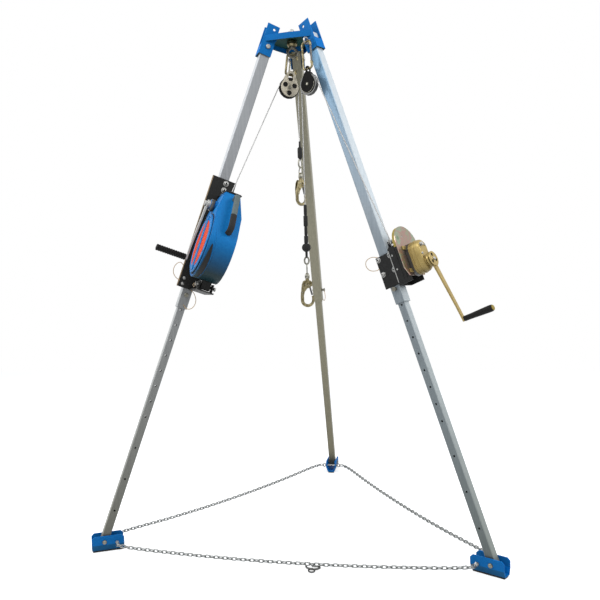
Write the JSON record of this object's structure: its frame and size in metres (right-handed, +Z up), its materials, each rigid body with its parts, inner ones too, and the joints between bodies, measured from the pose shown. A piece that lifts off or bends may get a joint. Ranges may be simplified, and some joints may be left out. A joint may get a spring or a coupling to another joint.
{
  "type": "confined space tripod",
  "caption": "Three-legged rescue tripod with telescopic square legs, chained feet, a retrieval block, a hand winch, two pulleys and two snap hooks.",
  "frame": {"origin": "floor level, on the tripod's upright axis below the head's centre", "axes": "+Z up; the legs stand at 210, 330 and 90 degrees round Z, so +Y points to the rear leg"},
  "size_m": [1.8774, 1.6437, 2.5234],
  "materials": {
    "blue_paint": "satin powder coat",
    "casing_paint": "satin powder coat",
    "aluminium": "satin anodised",
    "zinc_steel": "zinc plated",
    "cable_steel": "galvanised",
    "black_plastic": "matt",
    "black_rubber": "matt",
    "grey_plastic": "matt",
    "tan_plastic": "matt",
    "gold_paint": "satin",
    "yellow_zinc": "yellow passivated zinc"
  },
  "bodies": {
    "head": {"head_frame": "blue_paint", "head_eye_bolt": "zinc_steel", "pivot_bolt_left": "zinc_steel", "pivot_bolt_right": "zinc_steel", "pivot_bolt_rear": "zinc_steel", "carabiner_left": "zinc_steel", "carabiner_right": "yellow_zinc", "pulley_left_frame": "zinc_steel", "pulley_right_frame": "black_plastic", "cable_srl": "cable_steel", "cable_winch": "cable_steel", "cable_end_upper": "black_plastic", "cable_end_lower": "black_plastic", "chain_front": "zinc_steel", "chain_left": "zinc_steel", "chain_right": "zinc_steel"},
    "sheave_left": {"pulley_left_sheave": "black_plastic"},
    "sheave_right": {"pulley_right_sheave": "black_plastic"},
    "gate_carabiner_left": {"carabiner_left_gate": "zinc_steel"},
    "gate_carabiner_right": {"carabiner_right_gate": "black_plastic"},
    "hook_upper": {"hook_upper": "zinc_steel"},
    "gate_hook_upper": {"hook_upper_gate": "cable_steel"},
    "hook_lower": {"hook_lower": "zinc_steel"},
    "gate_hook_lower": {"hook_lower_gate": "cable_steel"},
    "leg_left": {"upper_leg_left": "aluminium", "srl_bracket": "black_plastic", "srl_housing": "casing_paint", "srl_cover": "casing_paint", "srl_handle": "grey_plastic"},
    "srl_crank": {"srl_crank": "zinc_steel"},
    "srl_grip": {"srl_crank_grip": "black_plastic"},
    "srl_knob": {"srl_knob": "tan_plastic"},
    "leg_right": {"upper_leg_right": "aluminium", "winch_clamp": "black_plastic", "winch_bracket": "black_plastic", "winch_frame": "yellow_zinc", "winch_gear_case": "gold_paint"},
    "winch_drum": {"winch_drum": "zinc_steel"},
    "winch_roller": {"winch_roller": "zinc_steel"},
    "winch_crank": {"winch_crank": "gold_paint"},
    "winch_grip": {"winch_crank_grip": "black_plastic"},
    "leg_rear": {"upper_leg_rear": "aluminium"},
    "pin_left": {"height_pin_left": "zinc_steel"},
    "pin_right": {"height_pin_right": "zinc_steel"},
    "pin_rear": {"height_pin_rear": "zinc_steel"},
    "lower_left": {"lower_leg_left": "aluminium"},
    "lower_right": {"lower_leg_right": "aluminium"},
    "lower_rear": {"lower_leg_rear": "aluminium"},
    "foot_left": {"foot_left": "blue_paint", "foot_pad_left": "black_rubber", "foot_bolt_left": "zinc_steel", "shackle_left": "zinc_steel"},
    "foot_right": {"foot_right": "blue_paint", "foot_pad_right": "black_rubber", "foot_bolt_right": "zinc_steel", "shackle_right": "zinc_steel"},
    "foot_rear": {"foot_rear": "blue_paint", "foot_pad_rear": "black_rubber", "foot_bolt_rear": "zinc_steel", "shackle_rear": "zinc_steel"}
  },
  "joints": [
    {"name": "leg_left_fold", "type": "hinge", "parent": "head", "child": "leg_left", "pos_m": [-0.11908, -0.06875, 2.40398], "axis": [0.5, -0.866, 0], "range_deg": [0, 20], "deforming": ["cable_srl", "chain_front", "chain_left"]},
    {"name": "leg_right_fold", "type": "hinge", "parent": "head", "child": "leg_right", "pos_m": [0.11908, -0.06875, 2.40398], "axis": [0.5, 0.866, 0], "range_deg": [0, 16], "deforming": ["cable_winch", "chain_front", "chain_right"]},
    {"name": "leg_rear_fold", "type": "hinge", "parent": "head", "child": "leg_rear", "pos_m": [0, 0.1375, 2.40398], "axis": [-1, 0, 0], "range_deg": [0, 20], "deforming": ["chain_left", "chain_right"]},
    {"name": "leg_left_height", "type": "slide", "parent": "leg_left", "child": "lower_left", "axis": [0.3005, 0.1735, 0.9379], "range_m": [0, 0.9144], "deforming": ["chain_front", "chain_left"]},
    {"name": "leg_right_height", "type": "slide", "parent": "leg_right", "child": "lower_right", "axis": [-0.3005, 0.1735, 0.9379], "range_m": [0, 0.9144], "deforming": ["chain_front", "chain_right"]},
    {"name": "leg_rear_height", "type": "slide", "parent": "leg_rear", "child": "lower_rear", "axis": [0, -0.3469, 0.9379], "range_m": [0, 0.9144], "deforming": ["chain_left", "chain_right"]},
    {"name": "pin_left_pull", "type": "slide", "parent": "leg_left", "child": "pin_left", "axis": [0.5, -0.866, 0], "range_m": [0, 0.07]},
    {"name": "pin_right_pull", "type": "slide", "parent": "leg_right", "child": "pin_right", "axis": [-0.5, -0.866, 0], "range_m": [0, 0.07]},
    {"name": "pin_rear_pull", "type": "slide", "parent": "leg_rear", "child": "pin_rear", "axis": [1, 0, 0], "range_m": [0, 0.07]},
    {"name": "foot_left_tilt", "type": "hinge", "parent": "lower_left", "child": "foot_left", "pos_m": [-0.87382, -0.5045, 0.048], "axis": [0.5, -0.866, 0], "range_deg": [-35, 35], "deforming": ["chain_front", "chain_left"]},
    {"name": "foot_right_tilt", "type": "hinge", "parent": "lower_right", "child": "foot_right", "pos_m": [0.87382, -0.5045, 0.048], "axis": [0.5, 0.866, 0], "range_deg": [-35, 35], "deforming": ["chain_front", "chain_right"]},
    {"name": "foot_rear_tilt", "type": "hinge", "parent": "lower_rear", "child": "foot_rear", "pos_m": [0, 1.009, 0.048], "axis": [-1, 0, 0], "range_deg": [-35, 35], "deforming": ["chain_left", "chain_right"]},
    {"name": "sheave_left_spin", "type": "hinge", "parent": "head", "child": "sheave_left", "pos_m": [-0.02016, -0.01164, 2.21466], "axis": [-0.5, 0.866, 0], "continuous": true},
    {"name": "sheave_right_spin", "type": "hinge", "parent": "head", "child": "sheave_right", "pos_m": [0.10164, -0.12392, 2.18965], "axis": [0.5, 0.866, 0], "continuous": true},
    {"name": "gate_carabiner_left_swing", "type": "hinge", "parent": "head", "child": "gate_carabiner_left", "pos_m": [-0.02193, 0.01736, 2.30948], "axis": [0.858, 0.4954, -0.1356], "range_deg": [0, 20]},
    {"name": "gate_carabiner_right_swing", "type": "hinge", "parent": "head", "child": "gate_carabiner_right", "pos_m": [0.11859, -0.13371, 2.29801], "axis": [-0.5, -0.866, 0], "range_deg": [0, 20]},
    {"name": "hook_upper_swivel", "type": "hinge", "parent": "head", "child": "hook_upper", "pos_m": [0.02149, 0.01241, 1.763], "axis": [0, 0, 1], "continuous": true},
    {"name": "hook_lower_swivel", "type": "hinge", "parent": "head", "child": "hook_lower", "pos_m": [0.05998, -0.09987, 1.25], "axis": [0, 0, 1], "continuous": true},
    {"name": "gate_hook_upper_swing", "type": "hinge", "parent": "hook_upper", "child": "gate_hook_upper", "pos_m": [0.02792, 0.02007, 1.726], "axis": [-0.766, 0.6428, 0], "range_deg": [0, 20]},
    {"name": "gate_hook_lower_swing", "type": "hinge", "parent": "hook_lower", "child": "gate_hook_lower", "pos_m": [0.06972, -0.09762, 1.213], "axis": [-0.225, 0.9744, 0], "range_deg": [0, 20]},
    {"name": "srl_crank_turn", "type": "hinge", "parent": "leg_left", "child": "srl_crank", "pos_m": [-0.34075, -0.39303, 1.60522], "axis": [-0.8122, -0.4689, 0.3469], "continuous": true},
    {"name": "srl_grip_spin", "type": "hinge", "parent": "srl_crank", "child": "srl_grip", "pos_m": [-0.49843, -0.48407, 1.38682], "axis": [-0.8122, -0.4689, 0.3469], "continuous": true},
    {"name": "srl_knob_pull", "type": "slide", "parent": "leg_left", "child": "srl_knob", "axis": [0.8122, 0.4689, -0.3469], "range_m": [0, 0.008]},
    {"name": "winch_crank_turn", "type": "hinge", "parent": "leg_right", "child": "winch_crank", "pos_m": [0.65409, -0.37764, 1.31038], "axis": [0.8122, -0.4689, 0.3469], "continuous": true},
    {"name": "winch_grip_spin", "type": "hinge", "parent": "winch_crank", "child": "winch_grip", "pos_m": [0.84257, -0.41683, 1.07556], "axis": [0.8122, -0.4689, 0.3469], "continuous": true},
    {"name": "winch_drum_turn", "type": "hinge", "parent": "leg_right", "child": "winch_drum", "pos_m": [0.53469, -0.3087, 1.33722], "axis": [0.8122, -0.4689, 0.3469], "continuous": true},
    {"name": "winch_roller_spin", "type": "hinge", "parent": "leg_right", "child": "winch_roller", "pos_m": [0.50215, -0.31301, 1.40756], "axis": [0.8122, -0.4689, 0.3469], "continuous": true}
  ],
  "couplings": [
    {"joint": "winch_drum_turn", "follows": "winch_crank_turn", "ratio": -0.25}
  ]
}
